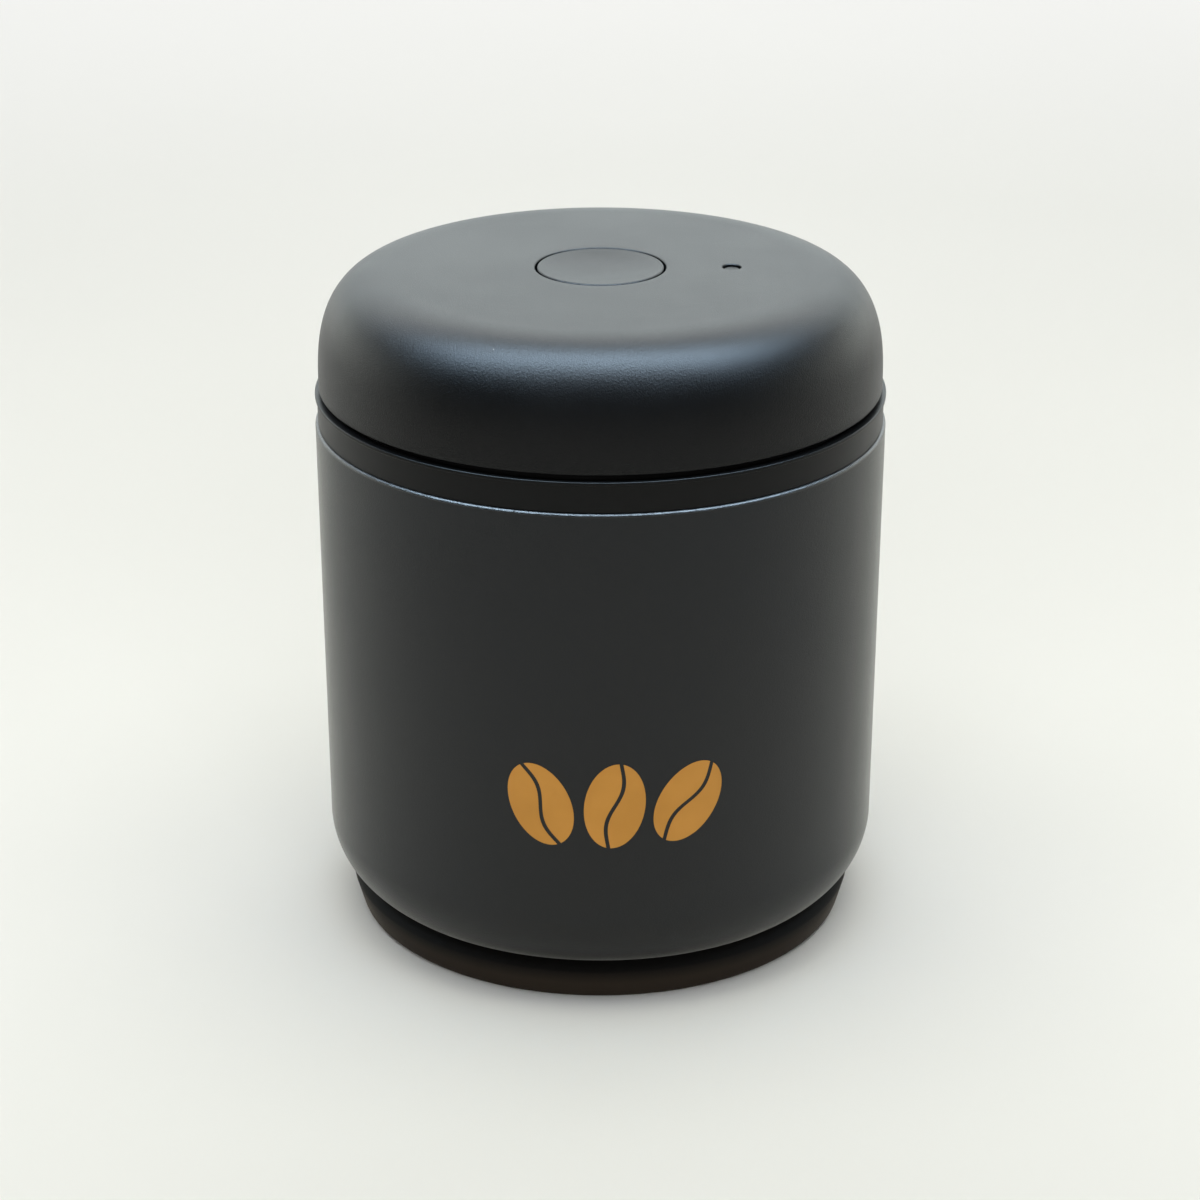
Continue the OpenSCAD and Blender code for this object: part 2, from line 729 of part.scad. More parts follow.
module pump_housing() {
    slot_r = pin_d / 2 + slide_gap;
    slot_l = bore_r + cylinder_wall + past;
    color(nylon) difference() {
        union() {
            translate([0, 0, plate_z]) cylinder(r = plate_r, h = plate_t);
            for (s = [1, -1]) translate([0, s * bore_offset, plate_z])
                cylinder(r = bore_r + cylinder_wall, h = cylinder_h + plate_t);
            translate([0, 0, plate_z]) cylinder(r = tower_r, h = tower_z - plate_z);
            translate([0, 0, tower_z - tower_flange_t]) cylinder(r = tower_flange_r, h = tower_flange_t);
            on_circle(3, shell_screw_r, 90) translate([0, 0, tower_z - shell_screw_l - screw_boss_floor])
                cylinder(r = screw_boss_r, h = shell_screw_l + screw_boss_floor);
            translate([indicator_x, 0, plate_z]) cylinder(r = column_r, h = cup_z + sink - plate_z);
            translate([indicator_x, 0, cup_z]) cylinder(r = cup_r, h = cup_h);
            on_circle(manifold_screw_count, manifold_screw_r)
                translate([0, 0, plate_z]) cylinder(r = manifold_boss_r, h = plate_t + manifold_boss_h);
        }
        for (s = [1, -1]) {
            translate([0, s * bore_offset, pump_z]) cylinder(r = bore_r, h = cylinder_h + past);
            translate([0, s * bore_offset, 0]) inlet_ports();
            // slot for the follower pin, open at the top
            translate([-slot_r, s > 0 ? bore_offset : -bore_offset - slot_l, slot_z])
                cube([2 * slot_r, slot_l, cylinder_h]);
        }
        translate([0, 0, pump_z]) cylinder(r = tower_bore_r, h = tower_z);
        translate([0, 0, plate_z - past]) cylinder(d = valve_hole_d, h = plate_t + 2 * past);
        on_circle(3, shell_screw_r, 90) translate([0, 0, tower_z - shell_screw_l - past])
            cylinder(d = shell_screw_d + 2 * seat, h = shell_screw_l + 2 * past);
        translate([indicator_x, 0, plate_z - past])
            cylinder(r = column_bore_r, h = cup_z + cup_floor + 2 * past - plate_z);
        translate([indicator_x, 0, cup_z + cup_floor]) cylinder(r = cup_in_r, h = cup_h);
        on_circle(manifold_screw_count, manifold_screw_r)
            translate([0, 0, plate_z - past]) cylinder(d = manifold_screw_d + 2 * seat, h = manifold_screw_l);
    }
}

// An air channel from the hub to a passage above
module channel(length, end_r) {
    translate([0, -channel_w / 2, plate_z - channel_h]) cube([length, channel_w, channel_h + past]);
    translate([length, 0, plate_z - channel_h]) cylinder(r = end_r, h = channel_h + past);
}

module manifold_plate() {
    seal_r = hub_r - hub_seal_d;
    seal_half = hub_seal_d / 2 + run;
    color(nylon) difference() {
        union() {
            translate([0, 0, manifold_z]) cylinder(r = plate_r, h = manifold_t);
            translate([0, 0, hub_end_z]) cylinder(r = hub_r, h = plate_z - hub_end_z);
        }
        translate([0, 0, hub_end_z - past]) cylinder(d = hub_bore_d, h = plate_z);
        rotate([0, 0, 90]) channel(bore_offset, inlet_d / 2);
        rotate([0, 0, -90]) channel(bore_offset, inlet_d / 2);
        channel(indicator_x, channel_w / 2);
        ring(seal_r, hub_r + past, hub_seal_z - seal_half, hub_seal_z + seal_half);
        ring(clip_seat_r, hub_r + past, clip_z - run, clip_z + clip_t + run);
        on_circle(manifold_screw_count, manifold_screw_r) {
            translate([0, 0, manifold_z - past])
                cylinder(d = manifold_screw_d + 2 * run, h = manifold_t + 2 * past);
            translate([0, 0, manifold_z - past])
                cylinder(d = manifold_head_d + 2 * run, h = manifold_head_t + past);
        }
    }
}

module manifold_screws() {
    color(steel) on_circle(manifold_screw_count, manifold_screw_r) {
        translate([0, 0, manifold_z]) cylinder(d = manifold_head_d, h = manifold_head_t);
        translate([0, 0, manifold_z]) cylinder(d = manifold_screw_d, h = manifold_screw_l);
    }
}

module hub_seal() {
    color(silicone) translate([0, 0, hub_seal_z]) rotate_extrude()
        translate([hub_r - hub_seal_d / 2 + run / 2, 0]) circle(d = hub_seal_d - run);
}

module hub_clip() {
    color(steel) difference() {
        ring(clip_seat_r + run, clip_seat_r + clip_w, clip_z, clip_z + clip_t);
        translate([0, -hub_r * clip_mouth / 2, clip_z - past])
            cube([hub_r * 2, hub_r * clip_mouth, clip_t + 2 * past]);
    }
}

// A rubber umbrella valve: a disc, and a peg that sits in its hole
module umbrella(disc_d, face_z, depth) {
    translate([0, 0, face_z]) cylinder(d = disc_d, h = flap_t);
    translate([0, 0, face_z - depth]) cylinder(r = valve_peg_r, h = depth + flap_t / 2);
}

module inlet_valve_a() {
    color(silicone) translate([0, bore_offset, 0]) umbrella(inlet_d, pump_z, plate_t);
}

module inlet_valve_b() {
    color(silicone) translate([0, -bore_offset, 0]) umbrella(inlet_d, pump_z, plate_t);
}

module indicator_diaphragm() {
    color(silicone) translate([indicator_x, 0, diaphragm_z]) cylinder(r = cup_r, h = diaphragm_t);
}

module indicator_spring() {
    w = small_wire_d / 2;
    color(steel) translate([indicator_x, 0, 0])
        coil(pin_flange_r - w, w, cup_z + cup_floor + w + seat, diaphragm_z - w - seat, small_turns);
}

module button_spring() {
    w = wire_d / 2;
    color(steel) coil(spring_r, w, well_z + w + seat, button_roof - w - seat, spring_turns);
}

// Button and release valve

module release_button() {
    dish_r = button_r - dish_rim;
    ball_r = (dish_r * dish_r + dish_depth * dish_depth) / (2 * dish_depth);
    color(cap_black) difference() {
        union() {
            rotate_extrude() difference() {
                band(0, button_r, button_z, button_top);
                band(0, button_r - button_wall, button_z - past, button_roof);
                corner_cut(button_r, button_top, edge_round, -1, -1);
            }
            translate([0, 0, button_z]) cylinder(r = socket_r, h = button_roof + sink - button_z);
        }
        translate([0, 0, button_top - dish_depth + ball_r]) sphere(r = ball_r);
        translate([0, 0, button_z - past])
            cylinder(d = stem_d + 2 * seat, h = stem_top + fit_gap - button_z + past);
    }
}

module valve_stem() {
    foot_z = valve_z - valve_foot_t;
    color(steel) {
        translate([0, 0, foot_z]) cylinder(d = stem_d, h = stem_top - foot_z);
        translate([0, 0, foot_z]) cylinder(d = valve_d - 2 * valve_foot_inset, h = valve_foot_t);
    }
}

module valve_seal() {
    color(silicone) ring(stem_d / 2 + seat, valve_d / 2, valve_z, valve_top);
}

// Pumps: one set of shapes, placed on +Y and, turned half round, on -Y

module piston() {
    groove_r = bore_r - piston_seal_d;
    seal_z = piston_z + crown_t / 2;
    color(nylon) translate([bore_offset, 0, 0]) difference() {
        union() {
            translate([0, 0, piston_z]) cylinder(r = bore_r - piston_gap, h = crown_t);
            translate([0, 0, piston_z]) cylinder(d = post_d, h = post_top - piston_z);
        }
        ring(groove_r, bore_r, seal_z - piston_seal_d / 2 - run, seal_z + piston_seal_d / 2 + run);
        translate([-post_d, 0, pin_z]) rotate([0, 90, 0]) cylinder(d = pin_d + 2 * seat, h = 2 * post_d);
        translate([-outlet_offset, 0, piston_z - past])
            cylinder(r = valve_peg_r + run, h = crown_t + 2 * past);
    }
}

module piston_seal() {
    color(silicone) translate([bore_offset, 0, piston_z + crown_t / 2]) rotate_extrude()
        translate([bore_r - piston_seal_d / 2, 0]) circle(d = piston_seal_d - 2 * run);
}

module outlet_valve() {
    color(silicone) translate([bore_offset - outlet_offset, 0, 0]) umbrella(outlet_d, crown_z, crown_t);
}

module follower_pin() {
    r0 = bore_offset - post_d / 2;
    color(steel) translate([r0, 0, pin_z]) rotate([0, 90, 0])
        cylinder(d = pin_d, h = shoe_r0 + shoe_l + pin_past_shoe - r0);
}

module follower_shoe() {
    color(acetal) translate([shoe_r0, 0, pin_z]) rotate([0, 90, 0]) difference() {
        cylinder(d = shoe_d, h = shoe_l);
        translate([0, 0, -past]) cylinder(d = pin_d + 2 * seat, h = shoe_l + 2 * past);
    }
}

// Indicator

module indicator_pin() {
    z = diaphragm_z + diaphragm_t;
    color(cap_black) translate([indicator_x, 0, 0]) {
        translate([0, 0, z]) cylinder(r = pin_flange_r, h = pin_flange_t);
        rotate_extrude() difference() {
            band(0, indicator_pin_r, z, pin_top);
            corner_cut(indicator_pin_r, pin_top, edge_round, -1, -1);
        }
    }
}

canister_body();
base_foot();
lid_base();
main_gasket();
lower_cam_ring();
upper_cam_ring();
cam_screws();
glide_ring();
thrust_washer();
filter_disc();
filter_cover();
lid_shell();
shell_screws();
pump_housing();
manifold_plate();
manifold_screws();
hub_seal();
hub_clip();
inlet_valve_a();
inlet_valve_b();
indicator_diaphragm();
indicator_spring();
button_spring();
release_button();
valve_stem();
valve_seal();
rotate([0, 0, 90]) piston();  // piston_a
rotate([0, 0, 90]) piston_seal();  // piston_seal_a
rotate([0, 0, 90]) outlet_valve();  // outlet_valve_a
rotate([0, 0, 90]) follower_pin();  // follower_pin_a
rotate([0, 0, 90]) follower_shoe();  // follower_shoe_a
rotate([0, 0, -90]) piston();  // piston_b
rotate([0, 0, -90]) piston_seal();  // piston_seal_b
rotate([0, 0, -90]) outlet_valve();  // outlet_valve_b
rotate([0, 0, -90]) follower_pin();  // follower_pin_b
rotate([0, 0, -90]) follower_shoe();  // follower_shoe_b
indicator_pin();
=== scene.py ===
"""A matte black coffee canister with a twist-pump vacuum lid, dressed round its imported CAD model."""

import json
import math

import bmesh
import bpy
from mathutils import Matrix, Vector


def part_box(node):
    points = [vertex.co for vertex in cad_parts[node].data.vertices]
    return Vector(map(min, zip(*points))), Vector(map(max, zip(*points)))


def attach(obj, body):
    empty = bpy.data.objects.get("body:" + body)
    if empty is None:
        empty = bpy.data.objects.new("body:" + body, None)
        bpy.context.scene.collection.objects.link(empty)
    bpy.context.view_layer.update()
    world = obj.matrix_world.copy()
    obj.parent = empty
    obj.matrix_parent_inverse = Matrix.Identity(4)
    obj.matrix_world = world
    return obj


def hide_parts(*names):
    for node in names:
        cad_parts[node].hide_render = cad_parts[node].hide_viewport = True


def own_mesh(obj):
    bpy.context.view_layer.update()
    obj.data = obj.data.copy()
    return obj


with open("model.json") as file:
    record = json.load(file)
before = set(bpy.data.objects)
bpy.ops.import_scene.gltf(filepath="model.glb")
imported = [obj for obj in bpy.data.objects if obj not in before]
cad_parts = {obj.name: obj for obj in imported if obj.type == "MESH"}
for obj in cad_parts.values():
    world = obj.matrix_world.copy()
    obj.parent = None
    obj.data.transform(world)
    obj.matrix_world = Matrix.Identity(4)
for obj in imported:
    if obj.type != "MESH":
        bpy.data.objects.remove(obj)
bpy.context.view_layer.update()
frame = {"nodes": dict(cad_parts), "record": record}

MM = 0.001
SEGMENTS = 288

# Sizes in millimetres, which follow the construction's
CAN_R = 61.0
RIM_Z = 112.7
CAN_WALL = 1.2
CAN_TAPER = 0.7
CORNER_R = 16.0
RIM_ROUND = 0.65
RIM_EDGE = 0.15
FOOT_H = 6.0
FOOT_R = 53.6
FOOT_FLARE = 2.0
FOOT_TOP = 9.5
FOOT_ROUND = 2.0
FOOT_SHOULDER = 2.5

COLLAR_R = 60.45
COLLAR_H = 6.7
COLLAR_WALL = 1.6
LIP_OUT = 0.45
LIP_H = 0.8
WEB_T = 2.2
PLUG_R = 57.0
PLUG_DEPTH = 32.7
PLUG_FLOOR = 2.5
PLUG_WALL = 3.0
CAM_LEDGE = 1.5
HUB_R = 10.05
BEARING_H = 5.0
BEARING_R = 16.0
SKIRT_R = 50.9
SKIRT_WALL = 1.9
SKIRT_H = 5.4
GROOVE_DEPTH = 1.4
GROOVE_H = 8.0
GROOVE_DROP = 5.7

TWIST_GAP = 1.25
DOME_R = 60.1
DOME_H = 24.55
SHOULDER_W = 17.8
SHOULDER_H = 23.4
SHOULDER_N = 2.74
CROWN = 0.36
DOME_WALL = 2.0
BUTTON_R = 13.4
BUTTON_GROOVE = 0.45
BUTTON_H = 8.9
BUTTON_WALL = 1.6
DISH_DEPTH = 1.1
DISH_RIM = 0.9
WELL_DEPTH = 13.98
WELL_WALL = 1.8
WELL_FLOOR = 2.5
INDICATOR_X = 27.7
INDICATOR_HOLE_R = 2.0
BUTTON_TRAVEL = 2.5
BUTTON_WIRE = 1.0
BUTTON_TURNS = 5
INDICATOR_TRAVEL = 2.0
INDICATOR_WIRE = 0.5
INDICATOR_TURNS = 3

LIP_Z = RIM_Z + COLLAR_H
SKIRT_EDGE_Z = LIP_Z + TWIST_GAP
FLAT_Z = SKIRT_EDGE_Z + DOME_H
FLAT_R = DOME_R - SHOULDER_W
LOW_R = CAN_R - CAN_TAPER
CORNER_Z = FOOT_H + CORNER_R


def top_z(r):
    """Height of the cap's slightly raised top at a radius."""
    return FLAT_Z + CROWN * (1 - (r / FLAT_R) ** 2)


def can_r(z):
    """Outer radius of the can at a height above its bottom corner."""
    return LOW_R + CAN_TAPER * (z - CORNER_Z) / (RIM_Z - CORNER_Z)


def under_can(r):
    """Height of the can's rounded underside at a radius."""
    across = r - (LOW_R - CORNER_R)
    if across <= 0:
        return FOOT_H
    return CORNER_Z - math.sqrt(CORNER_R ** 2 - across ** 2)


# Meshes


def rounded(corners):
    """An outline through (r, z) corners, where a third value rounds that corner."""
    steps = 6
    coarse_r = 4
    outline = []
    count = len(corners)
    for i, corner in enumerate(corners):
        here = Vector(corner[:2])
        radius = corner[2] if len(corner) > 2 else 0
        if radius <= 0:
            outline.append(tuple(here))
            continue
        back = (Vector(corners[i - 1][:2]) - here).normalized()
        ahead = (Vector(corners[(i + 1) % count][:2]) - here).normalized()
        half = math.acos(max(-1, min(1, back.dot(ahead)))) / 2
        reach = radius / math.tan(half)
        middle = here + (back + ahead).normalized() * radius / math.sin(half)
        start = here + back * reach - middle
        end = here + ahead * reach - middle
        sweep = math.pi - 2 * half
        pieces = max(2, round(steps * max(1, radius / coarse_r)))
        for k in range(pieces + 1):
            t = k / pieces
            arm = (start * math.sin((1 - t) * sweep) + end * math.sin(t * sweep)) / math.sin(sweep)
            outline.append(tuple(middle + arm))
    return outline


def arc(r, z, radius, start_deg, end_deg, steps):
    """Points of an arc round a centre at (r, z)."""
    angles = (math.radians(start_deg + (end_deg - start_deg) * k / steps) for k in range(steps + 1))
    return [(r + radius * math.cos(a), z + radius * math.sin(a)) for a in angles]


def link(name, mesh, body, slot, *materials):
    """Puts a mesh in the scene as a piece that rides on a body."""
    piece = bpy.data.objects.new(name, mesh)
    bpy.context.scene.collection.objects.link(piece)
    for material in materials:
        mesh.materials.append(material)
    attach(piece, body)
    return piece


def smooth(mesh, angle=32):
    """Smooth shading with edges sharper than the angle kept."""
    for face in mesh.polygons:
        face.use_smooth = True
    mesh.set_sharp_from_angle(angle=math.radians(angle))


def lathe(name, outline, segments=SEGMENTS, centre=(0, 0)):
    """A closed outline of (r, z) in millimetres, turned round the Z axis."""
    bm = bmesh.new()
    rings = []
    for r, z in outline:
        if r < 1e-6:
            rings.append([bm.verts.new((centre[0] * MM, centre[1] * MM, z * MM))])
            continue
        rings.append([bm.verts.new(((centre[0] + r * math.cos(a)) * MM,
                                    (centre[1] + r * math.sin(a)) * MM, z * MM))
                      for a in (2 * math.pi * k / segments for k in range(segments))])
    for i, ring in enumerate(rings):
        other = rings[(i + 1) % len(rings)]
        if len(ring) == 1 and len(other) == 1:
            continue
        for k in range(segments):
            m = (k + 1) % segments
            if len(ring) == 1:
                bm.faces.new((ring[0], other[k], other[m]))
            elif len(other) == 1:
                bm.faces.new((ring[k], ring[m], other[0]))
            else:
                bm.faces.new((ring[k], ring[m], other[m], other[k]))
    bmesh.ops.recalc_face_normals(bm, faces=bm.faces)
    mesh = bpy.data.meshes.new(name)
    bm.to_mesh(mesh)
    bm.free()
    smooth(mesh)
    return mesh


def cut(piece, cutter_mesh):
    """Takes a closed mesh out of a piece and applies the result."""
    cutter = bpy.data.objects.new("cutter", cutter_mesh)
    bpy.context.scene.collection.objects.link(cutter)
    modifier = piece.modifiers.new("hole", "BOOLEAN")
    modifier.object = cutter
    modifier.solver = "EXACT"
    bpy.context.view_layer.update()
    graph = bpy.context.evaluated_depsgraph_get()
    result = bpy.data.meshes.new_from_object(piece.evaluated_get(graph))
    piece.modifiers.remove(modifier)
    old = piece.data
    piece.data = result
    bpy.data.meshes.remove(old)
    bpy.data.objects.remove(cutter)
    smooth(piece.data)


# Materials


class Nodes:
    """A material's nodes, added and joined one line at a time."""

    def __init__(self, name):
        self.material = bpy.data.materials.new(name)
        self.material.use_nodes = True
        self.tree = self.material.node_tree
        self.tree.nodes.clear()
        self.out = self.tree.nodes.new("ShaderNodeOutputMaterial")
        self.bsdf = self.add("ShaderNodeBsdfPrincipled")
        self.join(self.bsdf, "BSDF", self.out, "Surface")
        self.place = self.add("ShaderNodeTexCoord")

    def add(self, kind, **values):
        """A node with its sockets or settings given by name."""
        node = self.tree.nodes.new(kind)
        for key, value in values.items():
            if key in node.inputs:
                node.inputs[key].default_value = value
            else:
                setattr(node, key, value)
        return node

    def join(self, a, out, b, into):
        self.tree.links.new(a.outputs[out], b.inputs[into])

    def shade(self, values):
        """Sets numbers and colours on the shader's own sockets."""
        for key, value in values.items():
            self.bsdf.inputs[key].default_value = value

    def noise(self, size_mm, detail=2.0, rough=0.5):
        """Noise whose features are about this many millimetres wide."""
        node = self.add("ShaderNodeTexNoise", Scale=1 / (size_mm * MM), Detail=detail, Roughness=rough)
        self.join(self.place, "Object", node, "Vector")
        return node

    def remap(self, source, out, low, high, to_low, to_high):
        """One range of values turned into another."""
        node = self.add("ShaderNodeMapRange")
        node.inputs["From Min"].default_value = low
        node.inputs["From Max"].default_value = high
        node.inputs["To Min"].default_value = to_low
        node.inputs["To Max"].default_value = to_high
        self.join(source, out, node, "Value")
        return node

    def bump(self, height, depth_mm, strength=1.0):
        """Raises the surface by a noise."""
        node = self.add("ShaderNodeBump", Strength=strength, Distance=depth_mm * MM)
        self.join(height, "Fac", node, "Height")
        self.join(node, "Normal", self.bsdf, "Normal")

    def mix(self, factor, out, low, high):
        """A colour between two, by a factor."""
        node = self.add("ShaderNodeMix", data_type="RGBA")
        self.join(factor, out, node, 0)
        for socket, value in ((6, low), (7, high)):
            if isinstance(value, tuple):
                node.inputs[socket].default_value = (*value, 1)
            else:
                self.tree.links.new(value, node.inputs[socket])
        return node

    def tone(self, noise, low, high):
        """A colour that wanders between two with a noise."""
        return self.mix(self.remap(noise, "Fac", 0.3, 0.7, 0, 1), "Result", low, high)

    def polish(self, noise, low, high, least, most):
        """Roughness that wanders from least to most with a noise."""
        self.join(self.remap(noise, "Fac", low, high, least, most), "Result", self.bsdf, "Roughness")

    def paint(self, colours):
        self.join(colours, 2, self.bsdf, "Base Color")


def textured_black(name, colour, light, rough, grain_mm, grain_depth, specks=0.0, gloss=0.25):
    """Black paint or plastic with a fine grain, uneven sheen, and now and then a speck of dust."""
    patch_mm = 38
    spread = 0.025
    dust_scale = 105.0
    dust_colour = (0.35, 0.35, 0.34)
    n = Nodes(name)
    n.shade({"Specular IOR Level": gloss})
    n.bump(n.noise(grain_mm, 3.0, 0.7), grain_depth)
    patch = n.noise(patch_mm, 3.0, 0.6)
    n.polish(patch, 0.35, 0.65, rough - spread, rough + spread)
    colours = n.tone(patch, colour, light)
    if specks:
        dust = n.add("ShaderNodeTexVoronoi", Scale=dust_scale)
        n.join(n.place, "Object", dust, "Vector")
        spot = n.remap(dust, "Distance", 0.012, 0.024, specks, 0)
        colours = n.mix(spot, "Result", colours.outputs[2], dust_colour)
    n.paint(colours)
    return n


def powder_coat():
    """The can's matte black coat, paler where it is seen edge on."""
    n = textured_black("powder_coat", (0.0016, 0.0016, 0.0016), (0.0024, 0.0024, 0.0024),
                       0.48, 0.40, 0.05, gloss=0.42)
    n.shade({"Sheen Weight": 0.34, "Sheen Roughness": 0.3, "Sheen Tint": (1.0, 1.0, 0.92, 1)})
    return n.material


def foot_rubber():
    """Black rubber, kept black towards the top as painted shade under the can's overhang, and brown with
    dust towards the floor.
    """
    shade_top_mm = 7.5
    brown_below_mm = 4.0
    n = textured_black("foot_rubber", (0.0022, 0.0020, 0.0019), (0.0030, 0.0028, 0.0026),
                       0.75, 0.3, 0.03, gloss=0.10)
    n.shade({"Sheen Weight": 0.12, "Sheen Roughness": 0.3, "Sheen Tint": (1.0, 0.87, 0.70, 1)})
    # painted shade: the foot stays black near its top, where the can overhangs it, and fades to a dusty
    # brown towards the floor
    axes = n.add("ShaderNodeSeparateXYZ")
    n.join(n.place, "Object", axes, "Vector")
    dust_and_shade = n.remap(axes, "Z", shade_top_mm * MM, brown_below_mm * MM, 0, 1)
    shaded_black = n.bsdf.inputs["Base Color"].links[0].from_socket
    n.paint(n.mix(dust_and_shade, "Result", shaded_black, (0.023, 0.017, 0.012)))
    return n.material


def steel(name, rough=0.3):
    """Stainless steel with fine brushing round the axis."""
    n = Nodes(name)
    n.shade({"Metallic": 1.0})
    stretch = n.add("ShaderNodeMapping")
    stretch.inputs["Scale"].default_value = (1, 1, 26)
    n.join(n.place, "Object", stretch, "Vector")
    lines = n.add("ShaderNodeTexNoise", Scale=220.0, Detail=3.0, Roughness=0.6)
    n.join(stretch, "Vector", lines, "Vector")
    n.bump(lines, 0.01, 0.6)
    n.polish(lines, 0.3, 0.7, rough - 0.06, rough + 0.08)
    n.paint(n.tone(lines, (0.55, 0.56, 0.58), (0.64, 0.65, 0.66)))
    return n.material


def moulded(name, colour, light, rough, grain_mm=0.8, depth=0.02, soft=0.0):
    """A moulded plastic or silicone, with faint flow marks and a fine grain."""
    flow_mm = 14
    spread = 0.05
    n = Nodes(name)
    n.bump(n.noise(grain_mm, 3.0, 0.55), depth)
    flow = n.noise(flow_mm)
    n.polish(flow, 0.35, 0.65, rough - spread, rough + spread)
    n.paint(n.tone(flow, colour, light))
    n.shade({"Subsurface Weight": soft, "Subsurface Radius": (0.002, 0.002, 0.002)})
    return n.material


def felt():
    """Pressed filter felt, with tangled fibres."""
    n = Nodes("felt")
    n.bump(n.noise(0.7, 6.0, 0.75), 0.25)
    n.shade({"Roughness": 0.95, "Sheen Weight": 0.3})
    n.paint(n.tone(n.noise(6, 3.0, 0.6), (0.55, 0.52, 0.45), (0.68, 0.66, 0.6)))
    return n.material


def amber_ink():
    """The amber print: screen ink with a slightly uneven film."""
    n = Nodes("amber_ink")
    n.bump(n.noise(0.5, 3.0, 0.6), 0.02)
    n.shade({"Roughness": 0.5, "Specular IOR Level": 0.3})
    n.paint(n.tone(n.noise(9), (0.45, 0.205, 0.03), (0.51, 0.235, 0.038)))
    return n.material


COAT = powder_coat()
# the coat where it runs thin and smooth over the rim
EDGE = textured_black("coat_edge", (0.0020, 0.0020, 0.0020), (0.0030, 0.0030, 0.0030),
                      0.36, 0.45, 0.12, gloss=0.75).material
CAP = textured_black("cap_plastic", (0.0014, 0.0014, 0.0015), (0.0022, 0.0022, 0.0023),
                     0.37, 0.34, 0.085, specks=0.6, gloss=0.23).material
COLLAR = textured_black("collar_plastic", (0.0012, 0.0012, 0.0012), (0.0020, 0.0020, 0.0020),
                        0.38, 0.5, 0.012, specks=0.8, gloss=0.17).material
RUBBER = foot_rubber()
STEEL = steel("stainless")
INSIDE = steel("can_inside", 0.36)
SILICONE = moulded("silicone", (0.48, 0.49, 0.50), (0.54, 0.55, 0.56), 0.45, 0.5, 0.01, 0.15)
NYLON = moulded("nylon", (0.70, 0.68, 0.62), (0.76, 0.74, 0.69), 0.42)
ACETAL = moulded("acetal", (0.80, 0.80, 0.78), (0.85, 0.85, 0.84), 0.28, 1.2, 0.008)
FELT = felt()
INK = amber_ink()
# painted shade: the glide ring and upper cam ring, seen through the gap under the cap, are coloured near
# black so that the gap reads dark
GAP_SHADE_LOOK = moulded("gap_shade_black", (0.006, 0.006, 0.006), (0.009, 0.009, 0.009), 0.35, 1.2, 0.008)

SLOT_LOOKS = {"coat": COAT, "cap_plastic": CAP, "collar_plastic": COLLAR, "foot_rubber": RUBBER,
              "silicone": SILICONE, "nylon": NYLON, "acetal": ACETAL, "steel": STEEL, "felt": FELT}
GAP_SHADE_RINGS = ("glide_ring", "upper_cam_ring")


def dress_nodes():
    """Gives each CAD node the look of its record slot, except the rings behind the cap's gap, which get a
    near black painted shade.
    """
    for part in frame["record"]["subparts"]:
        node = frame["nodes"][part["node"]]
        look = GAP_SHADE_LOOK if part["node"] in GAP_SHADE_RINGS else SLOT_LOOKS[part["material_slot"]]
        if not node.material_slots:
            node.data.materials.append(look)
        for holder in node.material_slots:
            holder.material = look
        smooth(node.data, 30)


# Pieces


def can():
    """The steel can: coated outside and over its rim, bare steel inside."""
    outer = arc(LOW_R - CORNER_R, CORNER_Z, CORNER_R, -90, 0, 40)
    inner = arc(LOW_R - CORNER_R, CORNER_Z, CORNER_R - CAN_WALL, 0, -90, 40)
    rim = rounded([outer[-1], (CAN_R, RIM_Z, RIM_ROUND),
                   (CAN_R - CAN_WALL, RIM_Z, RIM_EDGE), inner[0]])
    outline = [(0, FOOT_H)] + outer[:-1] + rim + inner[1:] + [(0, FOOT_H + CAN_WALL)]
    mesh = lathe("can", outline)
    piece = link("can_shell", mesh, "canister", "coat", COAT, INSIDE, EDGE)
    coated_in = 1.5
    for face in mesh.polygons:
        r = math.hypot(face.center.x, face.center.y) / MM
        z = face.center.z / MM
        within = FOOT_H + CAN_WALL - 0.05 < z < RIM_Z - coated_in
        if within and (z < CORNER_Z and face.normal.z > 0.02
                       or z >= CORNER_Z - 1 and r < can_r(z) - CAN_WALL / 2):
            face.material_index = 1
        if z > RIM_Z - RIM_ROUND and face.normal.z > 0.1:
            face.material_index = 2
    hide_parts("canister_body")


def foot():
    """The rubber foot under the can, rounded at its bottom edge and its shoulder."""
    gap = 0.05
    first_in = 0.12
    rings_under = 12
    shoulder_r = FOOT_R + FOOT_FLARE - FOOT_SHOULDER
    shoulder = [(r, z) for r, z in arc(shoulder_r, FOOT_TOP - FOOT_SHOULDER, FOOT_SHOULDER, 0, 90, 36)
                if z < under_can(r) - gap]
    under = []
    for k in range(rings_under):
        r = shoulder[-1][0] - first_in - k
        under.append((r, under_can(r) - gap))
    bottom = rounded([(0, 0), (FOOT_R, 0, FOOT_ROUND), shoulder[0]])[1:-1]
    outline = [(0, 0)] + bottom + shoulder + under + [(0, FOOT_H - gap)]
    piece = link("foot_ring", lathe("foot", outline), "canister", "foot_rubber", RUBBER)
    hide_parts("base_foot")


